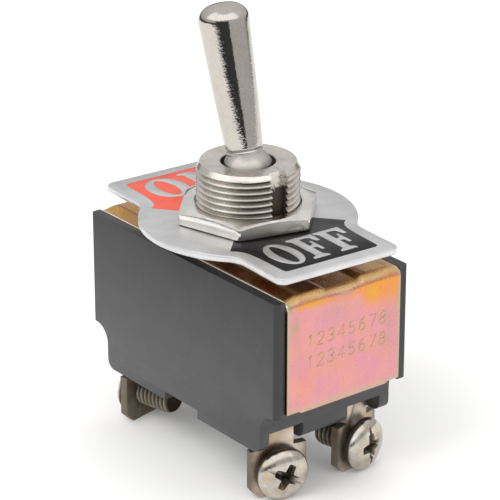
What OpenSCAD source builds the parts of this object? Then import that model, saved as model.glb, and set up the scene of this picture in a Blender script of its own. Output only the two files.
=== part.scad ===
// Panel toggle switch, double pole, on-off, bat lever, four screw terminals.
// Millimetres, +Z up along the bushing axis, origin on that axis at the frame's top face.
// +X is the OFF end, -X the ON end, -Y the side of pole A, +Y the side of pole B.

/* [Case] */
// Length of the case over its side walls
case_length = 35; // [33:0.5:40]
// Width of the case over its side walls
case_width = 19; // [18.5:0.5:24]
// Depth from the frame's top face to the underside of the case
case_depth = 19.4; // [18:0.2:24]
// Distance of the case's middle from the bushing axis, towards the ON end
case_shift = 0.45; // [0:0.05:0.8]
// Thickness of the two side walls
side_wall = 1.3; // [1:0.1:1.6]
// Thickness of the two end walls
end_wall = 2.5; // [2:0.1:2.6]
// Height of the step under each end, above the underside
step_height = 5.2; // [4:0.2:6]
// How far the lower block steps in at each end
step_inset = 2.85; // [2.4:0.05:3.4]
// Radius of the curve under each step
step_radius = 2.2; // [1.2:0.1:2.3]
// Rounding of the side walls' upright edges
edge_radius = 0.5; // [0.2:0.1:0.8]
// Rounding of the lower block's bottom corners
foot_radius = 1.2; // [0.6:0.1:1.8]
// Length of the shallow notch across the underside
notch_length = 6.3; // [4:0.1:8]
// Depth of the shallow notch across the underside
notch_depth = 1.05; // [0.5:0.05:1.5]

/* [Frame] */
// Thickness of the frame's steel sheet
sheet = 0.8; // [0.6:0.05:1]
// Height of the frame's top above the side walls
frame_rise = 0.3; // [0.1:0.05:0.5]
// Depth of the two end flanges below the frame's top
flange_depth = 13.75; // [12:0.25:13.9]
// Outer bend radius between the top and the flanges
bend_radius = 1.3; // [0.9:0.1:1.8]
// Depth of the channel pressed into each end of the frame's top
channel_depth = 0.35; // [0.1:0.05:0.4]

/* [Bushing] */
// Outside diameter of the threaded bushing
thread_diameter = 12; // [11.6:0.05:12.4]
// Height of the bushing above the frame
bushing_height = 9.35; // [9:0.05:11]
// Diameter of the hole the lever comes out of
mouth_diameter = 6.3; // [6.3:0.05:6.8]
// Width of the keyway down the thread
keyway_width = 2.2; // [1.8:0.1:2.6]
// Depth of the keyway
keyway_depth = 1.05; // [0.6:0.05:1.2]
// Thickness of the bushing's shoulder under the washer
shoulder_thickness = 1.1; // [0.8:0.05:1.4]

/* [Panel hardware] */
// Thickness of the lock washer
washer_thickness = 0.8; // [0.5:0.05:1]
// Thickness of the legend plate
plate_thickness = 0.8; // [0.5:0.05:1]
// Diameter of the legend plate's round middle
plate_diameter = 25.2; // [22:0.2:27]
// Length of the legend plate over its two tabs
plate_length = 35.4; // [31:0.2:38]
// Width of the legend plate's tabs
plate_tab_width = 16.4; // [13:0.2:17]
// Angle the legend plate sits turned by
plate_turn = -2.7; // [-3:0.1:3]
// Width of the hex nut across its flats
nut_flats = 15; // [14.5:0.1:17]
// Thickness of the hex nut
nut_thickness = 1.9; // [1.5:0.1:2.5]
// Angle the nut is tightened to
nut_turn = 15.5; // [0:0.5:60]

/* [Lever] */
// Length of the lever from its pivot to its tip
lever_length = 19.4; // [15:0.2:26]
// Largest diameter of the lever, near its tip
lever_tip_diameter = 5.85; // [4.6:0.05:7]
// Diameter of the lever at its foot
lever_foot_diameter = 4.25; // [3.8:0.05:4.4]
// Diameter of the ball at the pivot
ball_diameter = 6; // [5.8:0.05:6.1]
// Lean of the lever to each side of upright
lever_lean = 14.7; // [12:0.1:15]
// Diameter of the pivot pin
pin_diameter = 1.6; // [1.2:0.1:1.8]

/* [Contacts] */
// Distance of each pole from the middle
pole_offset = 4.6; // [4.4:0.05:4.9]
// Tilt of the rocking contacts to each side
rocker_tilt = 6.5; // [5:0.1:7]
// Thickness of the rocking contacts
rocker_thickness = 0.8; // [0.6:0.05:0.9]
// Width of the rocking contacts
rocker_width = 4; // [3.4:0.1:4.2]
// Diameter of the plungers
plunger_diameter = 2.4; // [2:0.05:2.6]
// Travel of the plungers into their sleeves
plunger_travel = 0.8; // [0.5:0.05:1]

/* [Terminals] */
// Thickness of the terminals
terminal_sheet = 1; // [0.8:0.05:1.1]
// Width of each terminal's tab
tab_width = 7; // [6:0.1:7.2]
// Width of each terminal's neck
neck_width = 3.7; // [3:0.1:4]
// Distance of the terminals from the middle, across the case
terminal_offset = 5.65; // [5.4:0.05:5.8]
// Angle the terminals are turned outward by
terminal_splay = 13; // [8:0.5:15]
// Gap between the underside and the tabs' shoulders
shoulder_gap = 0.65; // [0.4:0.05:1]
// Height of the tabs below their shoulders
tab_height = 6.05; // [5.8:0.05:7]
// Diameter of the terminal screws' shanks
screw_diameter = 3.4; // [2.9:0.1:3.5]
// Diameter of the terminal screws' heads
head_diameter = 6.3; // [5.4:0.1:6.6]
// Gap under the load screws' heads, where a wire goes
wire_gap = 0.7; // [0.3:0.05:1]
// Gap under the common screws' heads, which are driven home
home_gap = 0.1; // [0.05:0.05:0.3]
// Length of the terminal screws under their heads
screw_length = 5.7; // [5:0.1:6.6]

/* [Hidden] */
$fn = 48;
// Shared clearances: running, fitted, and the overshoot of a cut
run = 0.05;
fit = 0.05;
touch = 0.01;
over = 1;

// Case levels and half sizes
middle_x = -case_shift;
half_length = case_length / 2;
half_width = case_width / 2;
wall_top = -frame_rise;
underside = -case_depth;
shelf = underside + step_height;
low_half = half_length - step_inset;
end_recess = 0.5;
end_face = half_length - end_recess;
bay_half_length = end_face - end_wall;
bay_half_width = half_width - side_wall;
floor_lift = 0.3;
bay_floor = shelf + floor_lift;
end_wall_top = -(sheet + channel_depth + fit);
barrier_half = 0.7;
barrier_rise = 5.4;

// Frame
frame_half = end_face + fit + sheet;
frame_half_width = bay_half_width - fit;
edge_drop = frame_rise;
edge_band = 1.85;
channel_half = 3;
channel_slope = 0.9;
channel_start = 9;
flange_bottom = max(-flange_depth, shelf + floor_lift);
tongue_half = 6.3;
tongue_drop = 0.25;

// Bushing
thread_radius = thread_diameter / 2;
thread_relief = 0.4;
thread_mesh = 0.24;
mesh_room = 0.1;
thread_end_chamfer = 0.6;
shoulder_flange = 1.2;
shoulder_radius = thread_radius + shoulder_flange;
spigot_radius = 4.8;
swage_radius = 5.6;
swage_thickness = 0.4;
mouth_radius = mouth_diameter / 2;
throat_radius = 4.2;
ball_radius = ball_diameter / 2;
pin_radius = pin_diameter / 2;
pivot_drop = 1.35;
pivot_z = bushing_height - pivot_drop;
throat_drop = 2.8;
throat_top = pivot_z - throat_drop;
pin_lap = 0.75;
pin_reach = mouth_radius + pin_lap;
pin_room = 0.2;

// Stack on the bushing
washer_z = shoulder_thickness;
plate_z = washer_z + washer_thickness;
nut_z = plate_z + plate_thickness;
nut_top = nut_z + nut_thickness;
washer_flange = 2.3;
washer_radius = thread_radius + washer_flange;
washer_band = 1.1;
tooth_count = 10;
tooth_width = 1.6;
plate_radius = plate_diameter / 2;
plate_corner = 1;
plate_fillet = 3;
plate_fillet_lap = 0.02;
plate_fillet_cut = plate_fillet - plate_fillet_lap;
plate_key_room = 0.7;
plate_key_width = keyway_width - plate_key_room;
plate_key_reach = keyway_depth * 0.6;
nut_edge_drop = 0.5;
nut_face_step = 0.2;
nut_face_radius = nut_flats / 2 - nut_face_step;
nut_corner_radius = nut_flats / sqrt(3);

// Lever
tip_radius = lever_tip_diameter / 2;
foot_radius_lever = lever_foot_diameter / 2;
tail_radius = 1.45;
tail_drop = 5.2;
tail_length = pivot_z + tail_drop;
ring_start = ball_radius * 0.7;
ring_width = 0.42;
groove_width = 0.2;
groove_depth = 0.15;
dome_height = 2;
dome_steps = 8;

// Actuator on the lever's tail, measured down the lever's axis from the pivot
block_drop = 2.7;
block_height = 2.9;
block_top = pivot_z + block_drop;
block_bottom = block_top + block_height;
block_half = 2.4;
sleeve_wall = 0.65;
sleeve_radius = plunger_diameter / 2 + run + sleeve_wall;
block_lap = 0.1;
block_half_width = pole_offset + sleeve_radius + block_lap;
bore_roof = 0.8;
bore_top = block_top + bore_roof;

// Contacts and terminals, from the bay's floor up
strip_top = bay_floor + terminal_sheet;
cradle_rise = 0.9;
rocker_z = strip_top + cradle_rise;
edge_r = 0.4;
edge_step = 0.06;
edge_stem = edge_r - edge_step;
saddle_r = 1;
rocker_under = rocker_z + edge_r + touch;
rocker_top = rocker_under + rocker_thickness;
plunger_r = plunger_diameter / 2;
tip_gap = 0.02;
tip_reach = pivot_z - rocker_top - tip_gap;
ball_reach = tip_reach - plunger_r;
tip_bare = 3.1;
sleeve_end = tip_reach - tip_bare;
spring_room = 1.1;
plunger_top = bore_top + plunger_travel * 2 + spring_room;
// Path of the plunger's round tip seen from the rocker, as one arc
path_x = ball_reach * sin(lever_lean);
path_z = pivot_z - rocker_z - ball_reach * cos(lever_lean);
end_x = path_x * cos(rocker_tilt) - path_z * sin(rocker_tilt);
end_z = path_x * sin(rocker_tilt) + path_z * cos(rocker_tilt);
start_z = pivot_z - rocker_z - ball_reach;
path_rise = end_z - start_z;
path_r = (end_x * end_x + path_rise * path_rise) / (2 * path_rise);
arc_r = path_r + plunger_r + tip_gap;
arc_z = rocker_top + arc_r;
arc_lap = 0.7;
arc_half = end_x * arc_r / path_r + arc_lap;
arm_lap = 0.2;
arm_start_z = arc_z - sqrt(arc_r * arc_r - arc_half * arc_half);
arm_length = 3.6;
arm_half = arc_half + arm_length;
contact_inset = 2;
contact_x = arc_half + contact_inset;
// The arm that is down lies level at this height
arm_top = rocker_z - arc_half * sin(rocker_tilt) + (arm_start_z - rocker_z) * cos(rocker_tilt);
arm_under = arm_top - rocker_thickness;
contact_r = 1.3;
contact_shank = 0.7;
contact_head = 0.6;
contact_clinch = 0.25;
fixed_top = arm_under - contact_head - touch;
fixed_head = 0.7;
load_strip_top = fixed_top - fixed_head;
load_strip_under = load_strip_top - terminal_sheet;
strip_half = 1.25;
strip_end = 0.9;
strip_lap = 0.4;
load_strip_end = contact_x - contact_r - strip_lap;
ledge_half = 0.8;
ledge_lap = 0.6;
cradle_inset = 0.1;
cradle_half = strip_half - cradle_inset;
// Terminals below the case
neck_inset = 1.7;
terminal_x = low_half - neck_inset;
tab_top = underside - shoulder_gap;
tab_bottom = tab_top - tab_height;
tab_chamfer = 1.2;
screw_z = tab_top - tab_height * 0.47;
screw_r = screw_diameter / 2;
head_r = head_diameter / 2;
head_rim = 0.45;
head_dome = 1.2;
head_steps = 6;
recess_half = 0.5;
recess_reach = 1.75;
recess_depth = 1;
pocket_half = 2.45;
pocket_depth = 2.1;
pocket_length = 3.2;
slot_gap = 0.05;
// Springs
wire_r = 0.14;
coil_room = 0.08;
coil_r = plunger_r - wire_r - coil_room;
coil_turns = 5;
coil_sides = 6;
coil_steps = 14;

// Colours
phenolic = [0.24, 0.24, 0.25];
zinc = [0.86, 0.68, 0.5];
nickel = [0.78, 0.77, 0.74];
aluminium = [0.8, 0.81, 0.82];
brass = [0.8, 0.66, 0.36];
silver = [0.86, 0.86, 0.84];
brown = [0.35, 0.22, 0.15];
steel = [0.6, 0.6, 0.62];

// Lays a sketch of X and Z along Y, from -half to +half
module across(half) {
  translate([0, half, 0]) rotate([90, 0, 0]) linear_extrude(2 * half) children();
}
// A rod along Y through x, z
module rod_y(r, half, x, z) {
  translate([x, half, z]) rotate([90, 0, 0]) cylinder(r = r, h = 2 * half);
}
// Turns children, drawn upright on the bushing axis, to the lever's rest lean
module leaned() {
  translate([0, 0, pivot_z]) rotate([0, -lever_lean, 0]) children();
}
// Puts children, drawn facing +X, at one terminal: end is +1 or -1, side is +1 or -1
module at_terminal(end, side) {
  translate([middle_x + end * terminal_x, side * terminal_offset, 0])
    rotate([0, 0, (end > 0 ? 0 : 180) + end * side * terminal_splay]) children();
}
// Tilts children, drawn level, about the rocker's edge to the rest position
module rocked() {
  translate([0, 0, rocker_z]) rotate([0, rocker_tilt, 0]) translate([0, 0, -rocker_z]) children();
}

module case_plan() {
  square([case_length - 2 * edge_radius, case_width], center = true);
  square([case_length, case_width - 2 * edge_radius], center = true);
  for (sx = [-1, 1], sy = [-1, 1])
    translate([sx * (half_length - edge_radius), sy * (half_width - edge_radius)])
      circle(r = edge_radius);
}
module case_lower_profile() {
  difference() {
    union() {
      translate([-low_half + foot_radius, underside])
        square([2 * (low_half - foot_radius), step_height + over]);
      translate([-low_half, underside + foot_radius])
        square([2 * low_half, step_height - foot_radius + over]);
      for (s = [-1, 1]) {
        translate([s * (low_half - foot_radius), underside + foot_radius])
          circle(r = foot_radius);
        translate([s * low_half - (s > 0 ? over : step_radius), shelf - step_radius])
          square([step_radius + over, step_radius + touch]);
      }
    }
    for (s = [-1, 1])
      translate([s * (low_half + step_radius), shelf - step_radius])
        circle(r = step_radius);
    translate([-notch_length / 2, underside - over])
      square([notch_length, notch_depth + over]);
  }
}
module case() {
  color(phenolic) translate([middle_x, 0, 0]) difference() {
    union() {
      difference() {
        union() {
          translate([0, 0, shelf]) linear_extrude(wall_top - shelf) case_plan();
          across(half_width) case_lower_profile();
        }
        // End faces set back between the side walls
        for (s = [-1, 1])
          translate([s > 0 ? end_face : -end_face - over, -bay_half_width, shelf])
            cube([over, 2 * bay_half_width, case_depth]);
        // Room for the frame's top
        translate([-half_length - over, -bay_half_width, end_wall_top])
          cube([case_length + 2 * over, 2 * bay_half_width, over + sheet + channel_depth]);
        // The bay that holds the contacts
        translate([-bay_half_length, -bay_half_width, bay_floor])
          cube([2 * bay_half_length, 2 * bay_half_width, case_depth]);
      }
      // Barrier between the poles
      translate([-bay_half_length - over, -barrier_half, bay_floor - over])
        cube([2 * bay_half_length + 2 * over, 2 * barrier_half, barrier_rise + over]);
      for (side = [-1, 1]) {
        // Seat under each load terminal's strip
        translate([load_strip_end - middle_x, side > 0 ? barrier_half : -bay_half_width - touch, bay_floor - over])
          cube([bay_half_length + over + middle_x - load_strip_end, bay_half_width - barrier_half + touch, load_strip_under - bay_floor + over]);
        // Ledge that stops each rocker's lifted arm
        translate([-contact_x - middle_x - ledge_half,
            side > 0 ? pole_offset + rocker_width / 2 - ledge_lap : -bay_half_width - fit, bay_floor - over])
          cube([2 * ledge_half, bay_half_width + fit - pole_offset - rocker_width / 2 + ledge_lap,
            arm_under - touch - bay_floor + over]);
      }
    }
    for (end = [-1, 1], side = [-1, 1])
      translate([-middle_x, 0, 0]) {
        // Slot for the terminal's neck
        at_terminal(end, side)
          translate([-terminal_sheet / 2 - slot_gap, -neck_width / 2 - slot_gap, underside - over])
            cube([terminal_sheet + 2 * slot_gap, neck_width + 2 * slot_gap, case_depth - over]);
        // Pocket round the neck, open at the end
        translate([end > 0 ? middle_x + low_half - pocket_length : middle_x - low_half - over,
            side * terminal_offset - pocket_half, underside - over])
          cube([pocket_length + over, 2 * pocket_half, pocket_depth + over]);
      }
  }
}

module frame_section() {
  polygon([
    [-frame_half_width, -edge_drop - sheet], [-frame_half_width, -edge_drop],
    [-frame_half_width + edge_band, 0], [-channel_half, 0],
    [-channel_half + channel_slope, -channel_depth], [channel_half - channel_slope, -channel_depth],
    [channel_half, 0], [frame_half_width - edge_band, 0],
    [frame_half_width, -edge_drop], [frame_half_width, -edge_drop - sheet],
    [frame_half_width - edge_band, -sheet], [channel_half, -sheet],
    [channel_half - channel_slope, -channel_depth - sheet],
    [-channel_half + channel_slope, -channel_depth - sheet],
    [-channel_half, -sheet], [-frame_half_width + edge_band, -sheet]]);
}
module frame() {
  color(zinc) difference() {
    intersection() {
      translate([middle_x, 0, 0]) union() {
        for (s = [-1, 1]) {
          // Pressed top at each end
          translate([s > 0 ? channel_start - middle_x : -frame_half, 0, 0]) rotate([90, 0, 90])
            linear_extrude(frame_half - channel_start + s * middle_x) frame_section();
          // End flange
          translate([s > 0 ? frame_half - sheet : -frame_half, -frame_half_width, flange_bottom])
            cube([sheet, 2 * frame_half_width, -flange_bottom]);
          translate([s > 0 ? frame_half - sheet : -frame_half, -tongue_half, flange_bottom - tongue_drop])
            cube([sheet, 2 * tongue_half, tongue_drop + over]);
        }
        translate([-channel_start - middle_x - touch, -frame_half_width, -edge_drop - sheet])
          cube([2 * (channel_start + touch), 2 * frame_half_width, edge_drop + sheet]);
      }
      // Rounded outside of both bends
      translate([middle_x, 0, 0]) across(frame_half_width + over) union() {
        translate([-frame_half + bend_radius, -case_depth]) square([2 * (frame_half - bend_radius), case_depth]);
        translate([-frame_half, -case_depth]) square([2 * frame_half, case_depth - bend_radius]);
        for (s = [-1, 1]) translate([s * (frame_half - bend_radius), -bend_radius]) circle(r = bend_radius);
      }
    }
    // Slopes down to the side walls over the middle
    for (s = [-1, 1])
      translate([-channel_start - over, 0, 0]) rotate([90, 0, 90]) linear_extrude(2 * (channel_start + over))
        polygon([[s * (frame_half_width - edge_band), 0], [s * (frame_half_width + edge_band), 2 * -edge_drop],
          [s * (frame_half_width + edge_band), over], [s * (frame_half_width - edge_band), over]]);
    translate([0, 0, -case_depth]) cylinder(r = spigot_radius + fit, h = 2 * case_depth);
  }
}

module bushing() {
  color(nickel) difference() {
    union() {
      translate([0, 0, shoulder_thickness])
        cylinder(r = thread_radius, h = bushing_height - shoulder_thickness - thread_end_chamfer);
      translate([0, 0, bushing_height - thread_end_chamfer])
        cylinder(r1 = thread_radius, r2 = thread_radius - thread_relief, h = thread_end_chamfer);
      cylinder(r = shoulder_radius, h = shoulder_thickness);
      translate([0, 0, -edge_drop - sheet - swage_thickness])
        cylinder(r = spigot_radius, h = edge_drop + sheet + swage_thickness + touch);
      translate([0, 0, -edge_drop - sheet - swage_thickness]) cylinder(r = swage_radius, h = swage_thickness);
    }
    // Mouth the ball sits in, and the throat the tail swings in
    translate([0, 0, throat_top]) cylinder(r = mouth_radius, h = bushing_height);
    translate([0, 0, -edge_drop - sheet - swage_thickness])
      cylinder(r1 = throat_radius, r2 = mouth_radius, h = throat_top + edge_drop + sheet + swage_thickness);
    translate([0, 0, -edge_drop - sheet - swage_thickness - over]) cylinder(r = throat_radius, h = over + touch);
    // Bores for the pivot pin
    rod_y(pin_radius + run, pin_reach + pin_room, 0, pivot_z);
    // The nut's stretch of the thread, drawn where the two threads meet, at mid depth
    translate([0, 0, nut_z - mesh_room]) difference() {
      cylinder(r = thread_radius + over, h = nut_thickness + 2 * mesh_room);
      translate([0, 0, -over]) cylinder(r = thread_radius - thread_mesh, h = nut_thickness + 2 * over + 2 * mesh_room);
    }
    // Keyway
    translate([thread_radius - keyway_depth, -keyway_width / 2, shoulder_thickness + touch])
      cube([keyway_depth + over, keyway_width, bushing_height]);
  }
}

module lock_washer() {
  color(steel) translate([0, 0, washer_z]) difference() {
    union() {
      difference() {
        cylinder(r = washer_radius, h = washer_thickness);
        translate([0, 0, -over]) cylinder(r = washer_radius - washer_band, h = washer_thickness + 2 * over);
      }
      for (i = [0 : tooth_count - 1]) rotate([0, 0, (i + 0.5) * 360 / tooth_count])
        translate([thread_radius - over, -tooth_width / 2, 0])
          cube([washer_radius - washer_band / 2 - thread_radius + over, tooth_width, washer_thickness]);
    }
    translate([0, 0, -over]) cylinder(r = thread_radius + 0.1, h = washer_thickness + 2 * over);
  }
}

module plate_plan() {
  hole = thread_radius + 0.1;
  tab_half = plate_tab_width / 2;
  // Centre of the curve that runs a tab into the round middle
  fx = sqrt(pow(plate_radius + plate_fillet, 2) - pow(tab_half + plate_fillet, 2));
  difference() {
    union() {
      circle(r = plate_radius);
      square([plate_length - 2 * plate_corner, plate_tab_width], center = true);
      square([plate_length, plate_tab_width - 2 * plate_corner], center = true);
      for (sx = [-1, 1], sy = [-1, 1]) {
        translate([sx * (plate_length / 2 - plate_corner), sy * (tab_half - plate_corner)]) circle(r = plate_corner);
        difference() {
          polygon(sx * sy > 0 ? [[0, 0], [sx * fx, 0], [sx * fx, sy * (tab_half + plate_fillet)]]
            : [[0, 0], [sx * fx, sy * (tab_half + plate_fillet)], [sx * fx, 0]]);
          translate([sx * fx, sy * (tab_half + plate_fillet)]) circle(r = plate_fillet_cut);
        }
      }
    }
    circle(r = hole);
  }
  // Key that keeps the plate from turning
  intersection() {
    translate([thread_radius - plate_key_reach, -plate_key_width / 2]) square([plate_key_reach + over, plate_key_width]);
    circle(r = plate_radius);
  }
}
module legend_plate() {
  color(aluminium) translate([0, 0, plate_z]) rotate([0, 0, plate_turn])
    linear_extrude(plate_thickness) plate_plan();
}

module hex_nut() {
  color(nickel) translate([0, 0, nut_z]) rotate([0, 0, nut_turn]) difference() {
    intersection() {
      cylinder(r = nut_corner_radius, h = nut_thickness, $fn = 6);
      union() {
        cylinder(r = nut_corner_radius + over, h = nut_thickness - nut_edge_drop - touch);
        translate([0, 0, nut_thickness - nut_edge_drop - touch])
          cylinder(r1 = nut_corner_radius + 0.1, r2 = nut_face_radius, h = nut_edge_drop + touch);
      }
    }
    translate([0, 0, -over]) cylinder(r = thread_radius - thread_mesh + run, h = nut_thickness + 2 * over);
  }
}

module lever_profile() {
  body_end = lever_length - dome_height;
  polygon(concat(
    [[0, 0], [foot_radius_lever, 0], [foot_radius_lever, ring_start + ring_width],
     [foot_radius_lever - groove_depth, ring_start + ring_width],
     [foot_radius_lever - groove_depth, ring_start + ring_width + groove_width],
     [foot_radius_lever, ring_start + ring_width + groove_width]],
    [for (i = [0 : dome_steps]) let (a = 90 * i / dome_steps)
      [i == dome_steps ? 0 : tip_radius * pow(cos(a), 0.8), body_end + dome_height * sin(a)]]));
}
module lever() {
  color(nickel) leaned() difference() {
    union() {
      rotate_extrude() lever_profile();
      sphere(r = ball_radius);
      translate([0, 0, -tail_length]) cylinder(r = tail_radius, h = tail_length);
    }
    rod_y(pin_radius, ball_radius + over, 0, 0);
  }
}
module pivot_pin() {
  color(steel) rod_y(pin_radius, pin_reach, 0, pivot_z);
}

module actuator() {
  color(brown) leaned() difference() {
    union() {
      translate([-block_half, -block_half_width, -block_bottom])
        cube([2 * block_half, 2 * block_half_width, block_bottom - block_top]);
      for (s = [-1, 1]) translate([0, s * pole_offset, -sleeve_end])
        cylinder(r = sleeve_radius, h = sleeve_end - block_top - over);
    }
    translate([0, 0, -tail_length]) cylinder(r = tail_radius, h = tail_length);
    for (s = [-1, 1]) translate([0, s * pole_offset, -sleeve_end - over])
      cylinder(r = plunger_r + run, h = sleeve_end + over - bore_top);
  }
}
module plunger(s) {
  color(brass) leaned() translate([0, s * pole_offset, 0]) {
    translate([0, 0, -ball_reach]) cylinder(r = plunger_r, h = ball_reach - plunger_top);
    translate([0, 0, -ball_reach]) sphere(r = plunger_r);
  }
}
module plunger_a() { plunger(-1); }
module plunger_b() { plunger(1); }

// A coil along Z from 0 to height, as one closed sweep
module coil(height) {
  n = coil_turns * coil_steps;
  rise = height - 2 * wire_r;
  points = concat(
    [for (i = [0 : n], j = [0 : coil_sides - 1])
      let (a = 360 * i / coil_steps, b = 360 * j / coil_sides, r = coil_r + wire_r * cos(b))
        [r * cos(a), r * sin(a), wire_r + rise * i / n + wire_r * sin(b)]]);
  faces = concat(
    [[for (j = [0 : coil_sides - 1]) j]],
    [[for (j = [coil_sides - 1 : -1 : 0]) n * coil_sides + j]],
    [for (i = [0 : n - 1], j = [0 : coil_sides - 1])
      let (k = (j + 1) % coil_sides)
        [i * coil_sides + j, (i + 1) * coil_sides + j, (i + 1) * coil_sides + k]],
    [for (i = [0 : n - 1], j = [0 : coil_sides - 1])
      let (k = (j + 1) % coil_sides)
        [i * coil_sides + j, (i + 1) * coil_sides + k, i * coil_sides + k]]);
  polyhedron(points = points, faces = faces);
}
module spring(s) {
  color(steel) leaned() translate([0, s * pole_offset, -plunger_top + touch])
    coil(plunger_top - bore_top - 2 * touch);
}
module spring_a() { spring(-1); }
module spring_b() { spring(1); }

module rocker(s) {
  half = rocker_width / 2;
  color(brass) translate([0, s * pole_offset, 0]) difference() {
    rocked() union() {
      // Curved middle, an arc that follows the plunger
      intersection() {
        difference() {
          rod_y(arc_r + rocker_thickness, half, 0, arc_z);
          rod_y(arc_r, half + over, 0, arc_z);
        }
        translate([-arc_half, -half, arc_z - arc_r - 2 * rocker_thickness])
          cube([2 * arc_half, rocker_width, arc_r]);
      }
      // Arms
      for (e = [-1, 1]) translate([e * arc_half, 0, arm_start_z]) rotate([0, -e * rocker_tilt, 0])
        translate([e > 0 ? -arm_lap : -(arm_half - arc_half), -half, -rocker_thickness])
          cube([arm_half - arc_half + arm_lap, rocker_width, rocker_thickness]);
      // Saddle that sits over the cradle's edge
      intersection() {
        rod_y(saddle_r, half, 0, rocker_z);
        translate([-saddle_r, -half, rocker_z]) cube([2 * saddle_r, rocker_width, saddle_r]);
      }
    }
    rod_y(edge_r + touch, half + over, 0, rocker_z);
    translate([contact_x, 0, arm_under - over]) cylinder(r = contact_shank, h = rocker_thickness + 2 * over);
  }
}
module rocker_a() { rocker(-1); }
module rocker_b() { rocker(1); }

module moving_contact(s) {
  color(silver) translate([contact_x, s * pole_offset, 0]) {
    translate([0, 0, arm_under - contact_head]) cylinder(r = contact_r, h = contact_head);
    translate([0, 0, arm_under - contact_head / 2]) cylinder(r = contact_shank, h = contact_head / 2 + rocker_thickness + touch);
    translate([0, 0, arm_top]) cylinder(r = contact_r - 0.3, h = contact_clinch);
  }
}
module moving_contact_a() { moving_contact(-1); }
module moving_contact_b() { moving_contact(1); }

module fixed_contact(s) {
  color(silver) translate([contact_x, s * pole_offset, 0]) {
    translate([0, 0, load_strip_top]) cylinder(r = contact_r, h = fixed_head);
    translate([0, 0, load_strip_under]) cylinder(r = contact_shank, h = terminal_sheet + fixed_head / 2);
  }
}
module fixed_contact_a() { fixed_contact(-1); }
module fixed_contact_b() { fixed_contact(1); }

// Neck and drilled tab of a terminal, whose strip has its top at z
module terminal_tab(end, side, z) {
  at_terminal(end, side) difference() {
    union() {
      translate([-terminal_sheet / 2, -neck_width / 2, tab_top - touch])
        cube([terminal_sheet, neck_width, z - terminal_sheet / 4 - tab_top + touch]);
      translate([-terminal_sheet / 2, 0, 0]) rotate([90, 0, 90]) linear_extrude(terminal_sheet)
        polygon([[-tab_width / 2, tab_top], [-tab_width / 2, tab_bottom + tab_chamfer],
          [-tab_width / 2 + tab_chamfer, tab_bottom], [tab_width / 2 - tab_chamfer, tab_bottom],
          [tab_width / 2, tab_bottom + tab_chamfer], [tab_width / 2, tab_top]]);
    }
    translate([-over, 0, screw_z]) rotate([0, 90, 0]) cylinder(r = screw_r + run, h = 2 * over);
  }
}
module common_terminal(s) {
  color(brass) {
    terminal_tab(-1, s, strip_top);
    translate([middle_x - terminal_x, s * pole_offset - strip_half, bay_floor])
      cube([terminal_x - middle_x + strip_end, 2 * strip_half, terminal_sheet]);
    // Upright edge the rocker sits on
    translate([-edge_stem, s * pole_offset - cradle_half, strip_top - touch])
      cube([2 * edge_stem, 2 * cradle_half, cradle_rise - edge_r / 4]);
    translate([0, s * pole_offset, 0]) rod_y(edge_r, cradle_half, 0, rocker_z);
  }
}
module common_terminal_a() { common_terminal(-1); }
module common_terminal_b() { common_terminal(1); }

module load_terminal(s) {
  color(brass) difference() {
    union() {
      terminal_tab(1, s, load_strip_top);
      translate([load_strip_end, s * pole_offset - strip_half, load_strip_under])
        cube([middle_x + terminal_x - load_strip_end, 2 * strip_half, terminal_sheet]);
    }
    translate([contact_x, s * pole_offset, load_strip_under - over])
      cylinder(r = contact_shank, h = terminal_sheet + 2 * over);
  }
}
module load_terminal_a() { load_terminal(-1); }
module load_terminal_b() { load_terminal(1); }

// A round-head screw facing +X through the terminal's tab
module terminal_screw(end, side) {
  gap = end > 0 ? wire_gap : home_gap;
  color(nickel) at_terminal(end, side) translate([terminal_sheet / 2 + gap, 0, screw_z]) rotate([0, 90, 0])
    difference() {
      union() {
        translate([0, 0, -screw_length]) cylinder(r = screw_r, h = screw_length + head_rim);
        rotate_extrude() polygon(concat([[0, 0], [head_r, 0]],
          [for (i = [0 : head_steps]) let (a = 90 * i / head_steps)
            [head_r * cos(a), head_rim + head_dome * sin(a)]]));
      }
      for (t = [0, 90]) rotate([0, 0, t])
        translate([-recess_reach, -recess_half, head_rim + head_dome - recess_depth])
          cube([2 * recess_reach, 2 * recess_half, recess_depth + over]);
    }
}
module common_screw_a() { terminal_screw(-1, -1); }
module common_screw_b() { terminal_screw(-1, 1); }
module load_screw_a() { terminal_screw(1, -1); }
module load_screw_b() { terminal_screw(1, 1); }

case();
frame();
bushing();
lock_washer();
legend_plate();
hex_nut();
lever();
pivot_pin();
actuator();
plunger_a();
plunger_b();
spring_a();
spring_b();
rocker_a();
rocker_b();
moving_contact_a();
moving_contact_b();
fixed_contact_a();
fixed_contact_b();
common_terminal_a();
common_terminal_b();
load_terminal_a();
load_terminal_b();
common_screw_a();
common_screw_b();
load_screw_a();
load_screw_b();
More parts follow.
